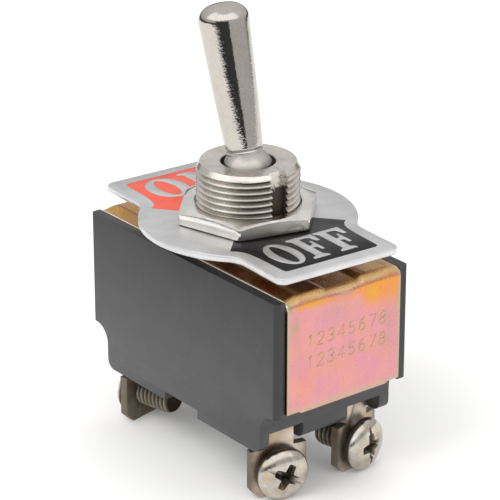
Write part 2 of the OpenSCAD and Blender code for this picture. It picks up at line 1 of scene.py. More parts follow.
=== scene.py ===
"""Looks of the panel toggle switch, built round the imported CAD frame.

Lengths are in millimetres until finish_piece() scales a mesh to metres. +Z runs up the bushing, +X to the
OFF end and +Y across the case. Pole a lies at -Y and pole b at +Y.
"""
import bpy
import bmesh
import math
from mathutils import Matrix, Vector, noise
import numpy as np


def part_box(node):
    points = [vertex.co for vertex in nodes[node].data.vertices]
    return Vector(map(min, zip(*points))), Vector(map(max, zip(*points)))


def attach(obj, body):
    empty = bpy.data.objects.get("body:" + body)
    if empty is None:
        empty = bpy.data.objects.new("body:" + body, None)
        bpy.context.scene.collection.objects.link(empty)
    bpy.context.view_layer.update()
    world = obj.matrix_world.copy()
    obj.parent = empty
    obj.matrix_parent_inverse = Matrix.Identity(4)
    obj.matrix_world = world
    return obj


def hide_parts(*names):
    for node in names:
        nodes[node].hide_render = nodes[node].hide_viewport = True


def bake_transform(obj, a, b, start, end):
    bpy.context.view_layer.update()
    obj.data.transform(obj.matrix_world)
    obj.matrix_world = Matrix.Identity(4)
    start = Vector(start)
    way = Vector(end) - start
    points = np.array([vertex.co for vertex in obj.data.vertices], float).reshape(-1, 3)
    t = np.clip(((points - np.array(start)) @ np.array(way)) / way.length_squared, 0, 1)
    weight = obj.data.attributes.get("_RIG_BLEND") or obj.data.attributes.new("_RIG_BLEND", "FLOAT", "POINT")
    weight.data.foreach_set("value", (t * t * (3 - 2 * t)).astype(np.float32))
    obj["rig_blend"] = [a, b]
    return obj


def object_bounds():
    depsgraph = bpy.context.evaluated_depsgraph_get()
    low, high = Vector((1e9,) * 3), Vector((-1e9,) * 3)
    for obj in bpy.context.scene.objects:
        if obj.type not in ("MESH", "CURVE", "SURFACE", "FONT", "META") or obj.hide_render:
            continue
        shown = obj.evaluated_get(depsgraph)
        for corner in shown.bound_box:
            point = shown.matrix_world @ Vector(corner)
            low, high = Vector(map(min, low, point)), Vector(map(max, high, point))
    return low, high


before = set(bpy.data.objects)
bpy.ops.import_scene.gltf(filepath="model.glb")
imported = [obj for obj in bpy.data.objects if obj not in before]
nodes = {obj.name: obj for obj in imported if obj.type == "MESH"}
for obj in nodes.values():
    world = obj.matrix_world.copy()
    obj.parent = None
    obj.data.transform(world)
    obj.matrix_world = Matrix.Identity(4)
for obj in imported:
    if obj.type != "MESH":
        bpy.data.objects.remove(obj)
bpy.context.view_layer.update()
rad = math.radians
MM = 0.001

LEAN, PIVOT = 14.7, 8.0  # degrees that the lever leans to the ON end, and the height of its pin
LEVER_PLACE = Matrix.Translation((0, 0, PIVOT)) @ Matrix.Rotation(rad(-LEAN), 4, "Y")
SHIFT = -0.45  # the case's and the frame's middle, from the bushing's axis along X
ENDS = ((-1, "common"), (1, "load"))
POLES = ((-1, "a"), (1, "b"))


# ---------------------------------------- shading
MIX_SOCKETS = (0, 6, 7)  # a colour Mix node's factor, A and B


def tree(name):
    """A new material, its node tree and its shader."""
    m = bpy.data.materials.new(name)
    m.use_nodes = True
    return m, m.node_tree, m.node_tree.nodes["Principled BSDF"]


def add(t, kind, ins=(), **props):
    """A new node: props are its settings, ins its inputs, each a value or a socket to link."""
    n = t.nodes.new(kind)
    for k, v in props.items():
        setattr(n, k, v)
    for k, v in dict(ins).items():
        if isinstance(v, bpy.types.NodeSocket):
            t.links.new(v, n.inputs[k])
        else:
            n.inputs[k].default_value = v
    return n


def maths(t, operation, *values, clamped=False):
    n = add(t, "ShaderNodeMath", dict(enumerate(values)), operation=operation, use_clamp=clamped)
    return n.outputs[0]


def mm_coords(t, stretch=(1, 1, 1)):
    """Object coordinates in millimetres, or squeezed along an axis by a stretch above 1."""
    c = add(t, "ShaderNodeTexCoord")
    ins = {"Vector": c.outputs["Object"], "Scale": [1000 * s for s in stretch]}
    return add(t, "ShaderNodeMapping", ins).outputs[0]


def noise_tex(t, coords, scale, detail, rough=0.55):
    ins = {"Vector": coords, "Scale": scale, "Detail": detail, "Roughness": rough}
    return add(t, "ShaderNodeTexNoise", ins).outputs["Fac"]


def attribute(t, name):
    """A piece's own number at each point. It is 0 where the piece has none by that name."""
    return add(t, "ShaderNodeAttribute", attribute_name=name).outputs["Fac"]


def grey(v):
    return (v, v, v)


def shade(colour, k):
    return tuple(c * k for c in colour)


def ramp(t, value, stops):
    r = add(t, "ShaderNodeValToRGB", {"Fac": value})
    e = r.color_ramp.elements
    while len(e) < len(stops):
        e.new(0.5)
    for el, (position, colour) in zip(e, stops):
        el.position = position
        el.color = (*colour, 1)
    return r.outputs["Color"]


def fade(t, value, start, end, top=1.0, bottom=0.0):
    """Grey that climbs from bottom to top while value goes from start to end."""
    return ramp(t, value, [(start, grey(bottom)), (end, grey(top))])


def spread(t, value, low, high):
    """A noise value, which mostly lies between 0.3 and 0.7, as a number between low and high."""
    ins = {"Value": value, "From Min": 0.3, "From Max": 0.7, "To Min": low, "To Max": high}
    return add(t, "ShaderNodeMapRange", ins).outputs[0]


def mix(t, fac, a, b, mode="MIX"):
    """Colour a, turned into b, or blended with it in another mode, as far as fac says."""
    n = add(t, "ShaderNodeMix", data_type="RGBA", blend_type=mode)
    for socket, v in zip(MIX_SOCKETS, (fac, a, b)):
        if isinstance(v, bpy.types.NodeSocket):
            t.links.new(v, n.inputs[socket])
        else:
            n.inputs[socket].default_value = (*v, 1) if isinstance(v, tuple) else v
    return n.outputs[2]


def bump(t, b, height, strength, depth, over=None):
    """Relief up to depth millimetres on shader b, over an earlier bump if there is one."""
    ins = {"Height": height, "Strength": strength, "Distance": depth * MM}
    if over is not None:
        ins["Normal"] = over
    normal = add(t, "ShaderNodeBump", ins).outputs[0]
    t.links.new(normal, b.inputs["Normal"])
    return normal


# ---------------------------------------- materials
def metal(name, light, dark, rough, grain=6.0, clouds=0.5, mottle=0.35, stain=None, stretch=(1, 1, 1),
          bumps=0.15, fine=0.3):
    """Plated or bare metal, cloudy between two colours, mottled, unevenly glossy and finely pitted.

    Painted shade darkens it where the piece's shade attribute says, and with a stain colour there are stains,
    and more where "tarnish" says.
    """
    # how far the painted shade darkens the dark colour
    shade_tint = (0.12, 0.10, 0.08)
    m, t, b = tree(name)
    coords = mm_coords(t)
    col = mix(t, fade(t, noise_tex(t, coords, clouds, 4), 0.35, 0.7), light, dark)
    small = noise_tex(t, mm_coords(t, stretch), grain, 5, 0.7)
    col = mix(t, mottle, col, fade(t, small, 0.3, 0.7, bottom=0.55), "MULTIPLY")
    if stain:
        spots = fade(t, noise_tex(t, coords, 1.1, 5, 0.65), 0.52, 0.72, top=0.8)
        col = mix(t, spots, col, stain)
        col = mix(t, attribute(t, "tarnish"), col, shade(stain, 0.7))
    # painted shade from the piece: a darker colour and a rougher surface
    painted_shade = attribute(t, "painted_shade")
    col = mix(t, painted_shade, col, tuple(c * k for c, k in zip(dark, shade_tint)))
    t.links.new(col, b.inputs["Base Color"])
    b.inputs["Metallic"].default_value = 1.0
    t.links.new(maths(t, "MULTIPLY_ADD", painted_shade, 0.4, spread(t, small, *rough)), b.inputs["Roughness"])
    relief = bump(t, b, small, bumps, 0.03)
    if fine:
        bump(t, b, noise_tex(t, coords, 14, 2), fine * 0.3, 0.01, relief)
    return m


def chrome():
    """Bright plating over a slightly pebbled casting. "dull" takes off the polish, and painted shade darkens
    it.
    """
    m, t, b = tree("polished_chrome")
    coords = mm_coords(t)
    cloud = noise_tex(t, coords, 0.35, 4)
    col = mix(t, fade(t, cloud, 0.35, 0.7), (0.60, 0.565, 0.525), (0.53, 0.495, 0.455))
    pebble = noise_tex(t, coords, 4.2, 2, 0.5)
    col = mix(t, 0.22, col, fade(t, pebble, 0.35, 0.65, bottom=0.6), "MULTIPLY")
    warm = noise_tex(t, mm_coords(t, (1, 1, 0.25)), 1.3, 4, 0.7)
    col = mix(t, fade(t, warm, 0.60, 0.72, top=0.5), col, (0.62, 0.47, 0.27))
    # painted shade
    col = mix(t, attribute(t, "painted_shade"), col, (0.05, 0.045, 0.04))
    t.links.new(col, b.inputs["Base Color"])
    b.inputs["Metallic"].default_value = 1.0
    polish = spread(t, cloud, 0.03, 0.07)
    t.links.new(maths(t, "MULTIPLY_ADD", attribute(t, "dull"), 0.26, polish), b.inputs["Roughness"])
    relief = bump(t, b, pebble, 0.55, 0.02)
    bump(t, b, noise_tex(t, coords, 1.1, 3), 0.5, 0.03, relief)
    return m


def plastic(name, base, rough, grain, mottle):
    """A dull moulding, cloudy, with pale specks, and darkened by painted shade."""
    m, t, b = tree(name)
    coords = mm_coords(t)
    clouds = fade(t, noise_tex(t, coords, 0.35, 5, 0.6), 0.3, 0.7)
    col = mix(t, clouds, shade(base, 1 - mottle), shade(base, 1 + mottle))
    specks = fade(t, noise_tex(t, coords, 3.2, 2, 0.5), 0.68, 0.74, top=0.5)
    col = mix(t, specks, col, shade(base, 2.2))
    # painted shade
    col = mix(t, attribute(t, "painted_shade"), col, shade(base, 0.3))
    t.links.new(col, b.inputs["Base Color"])
    small = noise_tex(t, coords, grain, 4, 0.7)
    t.links.new(spread(t, small, rough - 0.08, rough + 0.1), b.inputs["Roughness"])
    b.inputs["Specular IOR Level"].default_value = 0.45
    relief = bump(t, b, small, 0.25, 0.02)
    bump(t, b, noise_tex(t, coords, 1.2, 3), 0.15, 0.04, relief)
    return m


def paint(name, base, rough=0.38, gloss=0.5, scuffs=0.35):
    """Printing ink with faint clouds and pale scuffs across it."""
    m, t, b = tree(name)
    coords = mm_coords(t)
    clouds = fade(t, noise_tex(t, coords, 0.6, 4), 0.3, 0.7)
    col = mix(t, clouds, shade(base, 0.88), shade(base, 1.08))
    scuff = noise_tex(t, mm_coords(t, (0.4, 3, 1)), 2.4, 6, 0.75)
    col = mix(t, fade(t, scuff, 0.70, 0.8, top=scuffs), col, grey(0.55))
    t.links.new(col, b.inputs["Base Color"])
    b.inputs["Roughness"].default_value = rough
    b.inputs["Specular IOR Level"].default_value = gloss
    bump(t, b, noise_tex(t, coords, 8, 4), 0.2, 0.01)
    return m


def film_colour(r, g, b):
    """A colour as a screen shows it, 11 to 255, in the linear numbers that shaders take, a little dimmed."""
    dim = 0.92
    return tuple(dim * ((c / 255 + 0.055) / 1.055) ** 2.4 for c in (r, g, b))


FILM = {
    "gold": film_colour(208, 165, 92),
    "brown": film_colour(136, 62, 22),
    "orange": film_colour(240, 158, 78),
    "yellow": film_colour(234, 176, 58),
    "violet": film_colour(176, 146, 140),
    "green": film_colour(162, 172, 116),
    # a painted highlight along the bends' crowns
    "painted_glint": film_colour(240, 200, 140),
    "pale": film_colour(204, 180, 152),
    # edge: painted shade on the sheet's side edges and along its fold lines
    "edge": film_colour(60, 40, 22),
    # cut: the bare cut edge, brightened as a painted highlight
    "cut": film_colour(255, 248, 226),
}


def chromate():
    """Zinc plate under an iridescent film: pink, over which each patch named in FILM lays its own colour;
    some patches are painted highlight and painted shade, not film.
    """
    m, t, b = tree("chromate_zinc")
    coords = mm_coords(t)
    cloud = fade(t, noise_tex(t, coords, 0.3, 3, 0.5), 0.36, 0.64)
    col = mix(t, cloud, film_colour(226, 156, 170), film_colour(234, 162, 156))
    streak = noise_tex(t, mm_coords(t, (1, 1.6, 0.12)), 1.2, 4, 0.6)
    col = mix(t, fade(t, streak, 0.42, 0.7, top=0.35), col, film_colour(236, 170, 156))
    for name, colour in FILM.items():
        weight = attribute(t, name)
        if name in ("gold", "brown", "orange"):
            weight = maths(t, "MULTIPLY", weight, spread(t, streak, 0.78, 1.15), clamped=True)
        col = mix(t, weight, col, colour)
    small = noise_tex(t, coords, 7.0, 5, 0.7)
    col = mix(t, 0.14, col, fade(t, small, 0.3, 0.7, bottom=0.6), "MULTIPLY")
    pits = noise_tex(t, coords, 1.6, 2, 0.4)
    col = mix(t, fade(t, pits, 0.74, 0.80, top=0.45), col, (0.2, 0.12, 0.06))
    t.links.new(col, b.inputs["Base Color"])
    b.inputs["Metallic"].default_value = 0.85
    t.links.new(spread(t, small, 0.22, 0.38), b.inputs["Roughness"])
    relief = bump(t, b, small, 0.12, 0.03)
    bump(t, b, streak, 0.25, 0.03, relief)
    return m


MAT = {
    "phenolic": plastic("phenolic_moulding", (0.056, 0.057, 0.060), rough=0.42, grain=9.0, mottle=0.12),
    "chromate": chromate(),
    "nickel": metal("nickel_plate", (0.78, 0.735, 0.68), (0.62, 0.575, 0.52), rough=(0.14, 0.30),
                    grain=5.0, mottle=0.22, bumps=0.12, fine=0.2),
    "polished": metal("polished_nickel", (0.88, 0.86, 0.82), (0.76, 0.73, 0.69), rough=(0.10, 0.18),
                      grain=2.2, clouds=0.6, mottle=0.2, bumps=0.10, fine=0),
    "chrome": chrome(),
    "plate": metal("satin_aluminium", (0.82, 0.82, 0.825), (0.71, 0.71, 0.715), rough=(0.32, 0.52),
                   grain=4.0, clouds=0.3, stretch=(0.2, 3.0, 1), bumps=0.55),
    "red": paint("red_print", (0.70, 0.085, 0.045)),
    "black": paint("black_print", (0.010, 0.0095, 0.011), rough=0.26, gloss=0.16, scuffs=0.06),
    "screw": metal("screw_nickel", (0.66, 0.62, 0.56), (0.44, 0.39, 0.33), rough=(0.12, 0.26),
                   grain=2.6, clouds=0.7, mottle=0.3, stain=(0.62, 0.44, 0.20), bumps=0.10, fine=0.1),
    "terminal": metal("tinned_brass", (0.80, 0.73, 0.63), (0.62, 0.54, 0.43), rough=(0.24, 0.42),
                      grain=3.0, clouds=0.6, stain=(0.56, 0.34, 0.15)),
    "steel": metal("zinc_steel", (0.48, 0.48, 0.50), (0.34, 0.34, 0.36), rough=(0.3, 0.5)),
    "brass": metal("bare_brass", (0.72, 0.52, 0.22), (0.52, 0.36, 0.14), rough=(0.22, 0.42)),
    "silver": metal("contact_silver", (0.80, 0.80, 0.78), (0.62, 0.61, 0.58), rough=(0.2, 0.4)),
    "fibre": plastic("laminated_fibre", (0.13, 0.06, 0.03), rough=0.6, grain=5.0, mottle=0.25),
}


# ---------------------------------------- numbers and outlines
def clamp(t):
    return min(max(t, 0), 1)


def smooth(t):
    """0 below 0, 1 above 1, and an S-curve between."""
    t = clamp(t)
    return t * t * (3 - 2 * t)


def bell(x, middle, width):
    return math.exp(-((x - middle) / width) ** 2)


def blob(x, y, cx, cy, rx, ry):
    return bell(x, cx, rx) * bell(y, cy, ry)


def band(x, low, high, soft):
    """1 between low and high, fading to 0 over soft on either side."""
    return smooth((x - low) / soft + 0.5) * smooth((high - x) / soft + 0.5)


def arc(cx, cy, rx, ry, start, end, n=9):
    """n + 1 points on an ellipse, from one angle in degrees to another."""
    angles = [rad(start + (end - start) * i / n) for i in range(n + 1)]
    return [(cx + rx * math.cos(a), cy + ry * math.sin(a)) for a in angles]


def inset(outline, d):
    """A counter-clockwise outline moved inwards by d."""
    n, out = len(outline), []
    for i in range(n):
        a, b, c = Vector(outline[i - 1]), Vector(outline[i]), Vector(outline[(i + 1) % n])
        u, w = (b - a).normalized(), (c - b).normalized()
        before, after = Vector((-u.y, u.x)), Vector((-w.y, w.x))
        m = (before + after).normalized()
        out.append(tuple(b + m * d / max(0.5, m.dot(before))))
    return out


# ---------------------------------------- meshes
def finish_piece(name, me, mat, body, replaces=(), slot=None, matrix=Matrix.Identity(4), angle=32,
                 fields=None):
    """An object from a mesh in millimetres, which rides on body and stands for the nodes in replaces.

    fields is {attribute: function of a point in mm, before matrix}. Edges over angle degrees stay sharp.
    """
    for key, value in (fields or {}).items():
        a = me.attributes.new(key, "FLOAT", "POINT")
        a.data.foreach_set("value", [value(v.co) for v in me.vertices])
    me.transform(Matrix.Scale(MM, 4) @ matrix)
    me.shade_smooth()
    me.set_sharp_from_angle(angle=rad(angle))
    me.materials.append(mat)
    o = bpy.data.objects.new(name, me)
    bpy.context.scene.collection.objects.link(o)
    if body:
        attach(o, body)
    if replaces:
        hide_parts(*replaces)
    return o


def piece(name, verts, faces, mat, body, merge=1e-4, **kw):
    """A new piece from points in mm and faces; points within merge of each other become one."""
    bm = bmesh.new()
    vs = [bm.verts.new(p) for p in verts]
    for f in faces:
        bm.faces.new([vs[i] for i in f])
    bmesh.ops.remove_doubles(bm, verts=bm.verts, dist=merge)
    bmesh.ops.dissolve_degenerate(bm, edges=bm.edges, dist=merge)
    bmesh.ops.recalc_face_normals(bm, faces=bm.faces)
    me = bpy.data.meshes.new(name)
    bm.to_mesh(me)
    bm.free()
    return finish_piece(name, me, mat, body, **kw)


def soften(name, node, mat, body, width, **kw):
    """A CAD node's own shape with its edges rounded off."""
    me = nodes[node].data.copy()
    me.materials.clear()
    for a in [a.name for a in me.attributes if a.name == "custom_normal"]:
        me.attributes.remove(me.attributes[a])
    me.transform(Matrix.Scale(1 / MM, 4))
    bm = bmesh.new()
    bm.from_mesh(me)
    bmesh.ops.remove_doubles(bm, verts=bm.verts, dist=1e-3)
    bmesh.ops.dissolve_limit(bm, angle_limit=rad(1.0), verts=bm.verts, edges=bm.edges)
    sharp = [e for e in bm.edges if len(e.link_faces) == 2 and e.calc_face_angle(0) > rad(30)]
    bmesh.ops.bevel(bm, geom=sharp, offset=width, segments=2, profile=0.6, affect="EDGES", clamp_overlap=True)
    bmesh.ops.recalc_face_normals(bm, faces=bm.faces)
    bm.to_mesh(me)
    bm.free()
    return finish_piece(name, me, mat, body, replaces=[node], angle=40, **kw)


def slab(name, outline, rows, mat, holes=(), **kw):
    """A plate on the base from a counter-clockwise outline; rows are (inset, z), from underside to top."""
    bm = bmesh.new()
    rings = []
    for loop, sign in [(outline, 1)] + [(h, -1) for h in holes]:
        rings.append([[bm.verts.new((*p, z)) for p in inset(loop, d * sign)] for d, z in rows])
    for ring in rings:
        for a, b in zip(ring, ring[1:]):
            for i in range(len(a)):
                j = (i + 1) % len(a)
                bm.faces.new((a[i], a[j], b[j], b[i]))
    for k in (0, -1):
        loops = [ring[k] for ring in rings]
        edges = [bm.edges.get((l[i], l[(i + 1) % len(l)])) for l in loops for i in range(len(l))]
        bmesh.ops.triangle_fill(bm, use_beauty=True, use_dissolve=False, edges=edges, normal=(0, 0, 1))
    bmesh.ops.recalc_face_normals(bm, faces=bm.faces)
    me = bpy.data.meshes.new(name)
    bm.to_mesh(me)
    bm.free()
    return finish_piece(name, me, mat, "base", slot="plate", angle=50, **kw)


def grid(cols, wrap_u=True, wrap_v=False):
    """Points and four-sided faces of a sheet made of columns of points, closed round where it is wrapped."""
    n, m = len(cols), len(cols[0])
    faces = []
    for i in range(n if wrap_u else n - 1):
        for j in range(m if wrap_v else m - 1):
            i2, j2 = (i + 1) % n, (j + 1) % m
            faces.append((i * m + j, i2 * m + j, i2 * m + j2, i * m + j2))
    return [p for c in cols for p in c], faces


def turned(profile, n):
    """Columns of a profile of (radius, z) turned about Z."""
    angles = [2 * math.pi * i / n for i in range(n)]
    return [[(r * math.cos(a), r * math.sin(a), z) for r, z in profile] for a in angles]


def thread_rows(turn, r, depth, pitch, z0, z1, limit, per, rounded=False):
    """(radius, z) down one column of a thread, per rows to a pitch; turn is the column's share of a turn."""
    rows = []
    for j in range(-per, int((z1 - z0) / pitch + 2) * per):
        z = min(max(z0 + (j / per + turn) * pitch, z0), z1)
        phase = (z - z0) / pitch - turn
        t = abs(2 * (phase % 1) - 1)
        cut = 0.5 - 0.5 * math.cos(math.pi * t) if rounded else clamp((t - 0.12) / 0.72)
        rows.append((limit(r - depth * cut, z), z))
    return rows


def prism(loops, place):
    """A cutter lofted through (outline, z) pairs of equal point counts."""
    n = len(loops[0][0])
    verts = [(x, y, z) for outline, z in loops for x, y in outline]
    faces = [tuple(range(n))[::-1], tuple(range(len(verts) - n, len(verts)))]
    for k in range(0, len(verts) - n, n):
        faces += [(k + i, k + (i + 1) % n, k + n + (i + 1) % n, k + n + i) for i in range(n)]
    me = bpy.data.meshes.new("cutter")
    me.from_pydata(verts, [], faces)
    me.transform(Matrix.Scale(MM, 4) @ place)
    c = bpy.data.objects.new("cutter", me)
    bpy.context.scene.collection.objects.link(c)
    return c


def apply_cut(o, cutters):
    """Cuts the cutters out of o's mesh, and removes them."""
    for c in cutters:
        mod = o.modifiers.new("cut", "BOOLEAN")
        mod.operation, mod.solver, mod.object = "DIFFERENCE", "EXACT", c
    depsgraph = bpy.context.evaluated_depsgraph_get()
    me = bpy.data.meshes.new_from_object(o.evaluated_get(depsgraph))
    o.modifiers.clear()
    o.data = me
    for c in cutters:
        bpy.data.objects.remove(c)


# ---------------------------------------- bushing and nut
def build_bushing():
    """Bushing with its thread, the keyway on +X, a bevelled end, and a stub swaged under the frame."""
    crest, depth, pitch = 6.0, 0.42, 0.75
    seat, top, bevel = 1.1, 9.35, 0.62  # the thread runs from seat to just under top
    key_flat, key_half = 4.95, 1.1
    stub = [(4.2, -1.5), (5.6, -1.5), (5.6, -1.1), (4.8, -1.1), (4.8, 0)]
    shoulder = [(7.1, 0), (7.2, 0.1), (7.2, 1.0), (7.1, seat)]
    mouth = [(crest - 0.46, top), (4.96, top), (4.4, top - 0.01), (3.42, top), (3.24, top - 0.05),
             (3.15, top - 0.16), (3.15, 5.2), stub[0]]

    def limit(r, z):
        if z > top - bevel:
            return crest - 0.10 - (z - (top - bevel)) * 0.36 / bevel
        return min(r, crest - depth + max(0, z - seat) * 1.2)

    def column(a, keyed, edge=None):
        """The section at angle a, cut back to the keyway's flat if keyed, or lying at y = edge."""
        turn = (a / (2 * math.pi)) % 1
        rows = stub + shoulder + [(crest - depth, seat)]
        rows += thread_rows(turn, crest, depth, pitch, seat, top - 0.06, limit, 10, rounded=True) + mouth
        uncut = len(stub) + len(shoulder)
        out = []
        for k, (r, z) in enumerate(rows):
            if keyed and k >= uncut and r * math.cos(a) > key_flat:
                x, y = key_flat, (edge if edge is not None else key_flat * math.tan(a))
            elif edge is not None:
                x, y = math.sqrt(max(r * r - edge * edge, 0)), edge
            else:
                x, y = r * math.cos(a), r * math.sin(a)
            out.append((x, y, z))
        return out

    key_angle, n = math.asin(key_half / crest), 150
    rest = 2 * math.pi - 2 * key_angle
    cols = [column(-key_angle, True, -key_half)]
    cols += [column(0.06 * i, True) for i in (-2, -1, 0, 1, 2)]
    cols += [column(key_angle, True, key_half), column(key_angle, False, key_half)]
    cols += [column(key_angle + rest * i / n, False) for i in range(1, n)]
    cols += [column(-key_angle, False, -key_half)]
    v, f = grid(cols, wrap_u=True, wrap_v=True)

    def painted_shade(p):
        """Painted shade in the thread's valleys, most on the side turned 22 degrees from +X towards -Y, in
        the keyway's lower part and in the bore.
        """
        r = math.hypot(p.x, p.y)
        if r < 3.2:
            return 0.8
        if abs(p.y) < key_half + 0.02 and key_flat - 0.05 < p.x < key_flat + 0.05:
            return 0.05 + 0.88 * smooth((7.6 - p.z) / 0.3)
        if r > 5 and 1.2 < p.z < 8.9:
            front_shade = smooth((math.cos(math.atan2(p.y, p.x) + rad(22)) - 0.72) / 0.28)
            return (0.45 + 0.3 * front_shade) * clamp((5.78 - r) / 0.20) + 0.28 * front_shade
        return 0.0

    piece("bushing_body", v, f, MAT["nickel"], "base", replaces=["bushing"], slot="nickel", angle=28,
          fields={"painted_shade": painted_shade})


def build_nut():
    """Hex nut with rounded corners and a cone turned off its top."""
    half, low, high, phase = 7.5, 2.7, 4.6, rad(15.5)
    bore, mouth, cone_start, cone_slope = 5.85, 6.2, 7.25, 0.36
    corner = half / math.cos(rad(30)) - 0.10
    steps = [0, 0.7, 1.6, 3, 6, 12, 18, 24, 30, 36, 42, 48, 54, 57, 58.4, 59.3]

    def cone(r):
        return high - 0.03 - max(0, r - cone_start) * cone_slope

    cols = []
    for a in (60 * k + step for k in range(6) for step in steps):
        r = min(half / math.cos(rad(a % 60 - 30)), corner)
        shoulder = (r + cone_start) / 2
        rows = [(bore, low + 0.35), (mouth, low), (r - 0.3, low), (r - 0.1, low + 0.06), (r, low + 0.18),
                (r, cone(r) - 0.1), (r - 0.03, cone(r) - 0.03), (r - 0.1, cone(r)),
                (shoulder, cone(shoulder)), (cone_start, high - 0.03), (7.12, high), (6.7, high),
                (6.3, high), (6.22, high - 0.02), (bore, high - 0.35)]
        t = rad(a) + phase
        cols.append([(q * math.cos(t), q * math.sin(t), z) for q, z in rows])
    v, f = grid(cols, wrap_u=True, wrap_v=True)
    facing = phase - rad(30)

    def painted_shade(p):
        """Painted shade in the thread's mouth, and a painted dark reflection fading along one of the six
        flats.
        """
        across = p.x * math.cos(facing) + p.y * math.sin(facing)
        along = p.y * math.cos(facing) - p.x * math.sin(facing)
        if across > half - 0.02 and low + 0.1 < p.z < high - 0.2:
            return 0.62 - 0.3 * smooth((along + 2) / 5)
        return 0.6 * clamp((mouth - 0.05 - math.hypot(p.x, p.y)) / 0.2)

    piece("hex_nut_body", v, f, MAT["polished"], "nut", replaces=["hex_nut"], slot="nickel", angle=24,
          fields={"painted_shade": painted_shade})


# ---------------------------------------- lever
def build_lever():
    """Bat lever turned in one: tail, ball, grooved collar, tapered bat and domed end, along its own axis."""
    tail_r, tail_end, ball_r = 1.45, -13.2, 3.0
    foot_r, foot_z, tip_r, tip_z = 2.162, 2.86, 2.925, 17.4
    barrel, dome = 0.09, 2.0
    groove_low, groove_high, neck = 2.5, 2.75, 2.1
    ball_start = math.degrees(math.asin(tail_r / ball_r)) - 90
    ball_end = math.degrees(math.atan2(2.1, 2.125))
    profile = [(0, tail_end), (1.3, tail_end), (tail_r, tail_end + 0.15)]
    profile += arc(0, 0, ball_r, ball_r, ball_start, ball_end, 24)
    profile += [(2.15, 2.14), (2.17, 2.22), (2.17, 2.46), (2.13, 2.52), (2.02, 2.56), (2.0, 2.62),
                (2.02, 2.68), (2.12, 2.72), (2.155, 2.78), (foot_r, foot_z)]
    for i in range(1, 25):
        s = i / 24
        bulge = barrel * 4 * s * (1 - s) ** 2
        profile.append((foot_r + (tip_r - foot_r) * s + bulge, foot_z + (tip_z - foot_z) * s))
    for i in range(1, 18):
        a = rad(90 * i / 18)
        profile.append((tip_r * math.cos(a) ** 0.8, tip_z + dome * math.sin(a)))
    profile.append((0, tip_z + dome))
    v, f = grid(turned(profile, 128))

    # painted shade on the ball down in the bushing, and in the collar's groove
    def painted_shade(p):
        if p.z < 1.2:
            return 0.6 * min((1.2 - p.z) / 0.8, 1)
        if groove_low < p.z < groove_high:
            return 0.5 * clamp((neck - math.hypot(p.x, p.y)) / 0.1)
        return 0.0

    piece("lever_bat", v, f, MAT["chrome"], "lever", replaces=["lever"], slot="lever_chrome",
          matrix=LEVER_PLACE, angle=40, fields={"painted_shade": painted_shade, "dull": lambda p: smooth((2.5 - p.z) / 0.2)})


# ---------------------------------------- legend plate
TURN = Matrix.Rotation(rad(-2.7), 4, "Z")  # the plate sits a little turned on the bushing
PLATE_LOW, PLATE_TOP = 1.9, 2.7
LETTER_H = 6.0


def plate_outline():
    """Counter-clockwise: a disc with a tab at either end, round-cornered, with hollow corners to the disc."""
    disc, tab_half, tab_end, hollow, corner = 12.6, 8.2, 17.7, 3.0, 1.0
    hollow_x, hollow_y = math.sqrt((disc + hollow) ** 2 - (tab_half + hollow) ** 2), tab_half + hollow
    meet = math.degrees(math.atan2(hollow_y, hollow_x))
    quarter = arc(tab_end - corner, tab_half - corner, corner, corner, 0, 90, 6)
    quarter += arc(hollow_x, hollow_y, hollow, hollow, -90, meet - 180, 8)
    quarter += arc(0, 0, disc, disc, meet, 90, 12)[1:]
    points = []
    for sx, sy in ((1, 1), (-1, 1), (-1, -1), (1, -1)):
        points += [(sx * x, sy * y) for x, y in (quarter if sx * sy > 0 else quarter[::-1])]
    outline = []
    for p in points:
        if not outline or math.dist(p, outline[-1]) > 1e-3:
            outline.append(p)
    return outline[:-1] if math.dist(outline[0], outline[-1]) < 1e-3 else outline


def letter_o(x, w, stroke, thin):
    """An oval that overshoots the other letters a little; x is its left side. Returns (outline, holes)."""
    middle, rx, ry = LETTER_H / 2, w / 2, LETTER_H / 2 + 0.12
    outer = arc(x + rx, middle, rx, ry, 0, 360, 40)[:-1]
    return outer, [arc(x + rx, middle, rx - stroke, ry - thin, 0, 360, 40)[:-1]]


def letter_f(x):
    stem, bar = x + 0.62, x + 1.68  # the stem's left and right sides
    foot = [(x - 0.05, 0), (x + 2.2, 0), (x + 2.12, 0.42), (bar + 0.14, 0.62), (bar, 0.85), (bar, 2.75)]
    middle = [(x + 2.15, 2.72), (x + 2.28, 2.5), (x + 2.34, 1.85), (x + 2.72, 1.85), (x + 2.72, 4.35),
              (x + 2.34, 4.35), (x + 2.26, 3.65), (x + 2.1, 3.38), (bar, 3.32), (bar, 5.42)]
    head = [(x + 2.6, 5.4), (x + 3.0, 5.2), (x + 3.26, 4.1), (x + 3.72, 4.1), (x + 3.78, LETTER_H),
            (x + 0.2, LETTER_H), (x + 0.22, 5.6), (stem - 0.1, 5.4), (stem, 5.15)]
    return foot + middle + head + [(stem, 0.85), (stem - 0.14, 0.62), (x + 0.02, 0.42)], []


def letter_n(x):
    left, right, thin = x + 0.65, x + 4.75, x + 4.15  # left stem, right stem and the right stem's inner side
    foot = [(x, 0), (x + 2.0, 0), (x + 2.0, 0.45), (x + 1.35, 0.6), (x + 1.25, 0.85), (x + 1.25, 4.35)]
    head = [(x + 3.9, 0), (right, 0), (right, 5.15), (x + 4.85, 5.4), (x + 5.4, 5.55), (x + 5.4, LETTER_H),
            (x + 3.45, LETTER_H), (x + 3.45, 5.55), (x + 4.05, 5.4), (thin, 5.15), (thin, 2.35)]
    side = [(x + 1.85, LETTER_H), (x + 0.05, LETTER_H), (x + 0.05, 5.55), (x + 0.55, 5.4), (left, 5.15),
            (left, 0.85), (x + 0.55, 0.6), (x, 0.45)]
    return foot + head + side, []


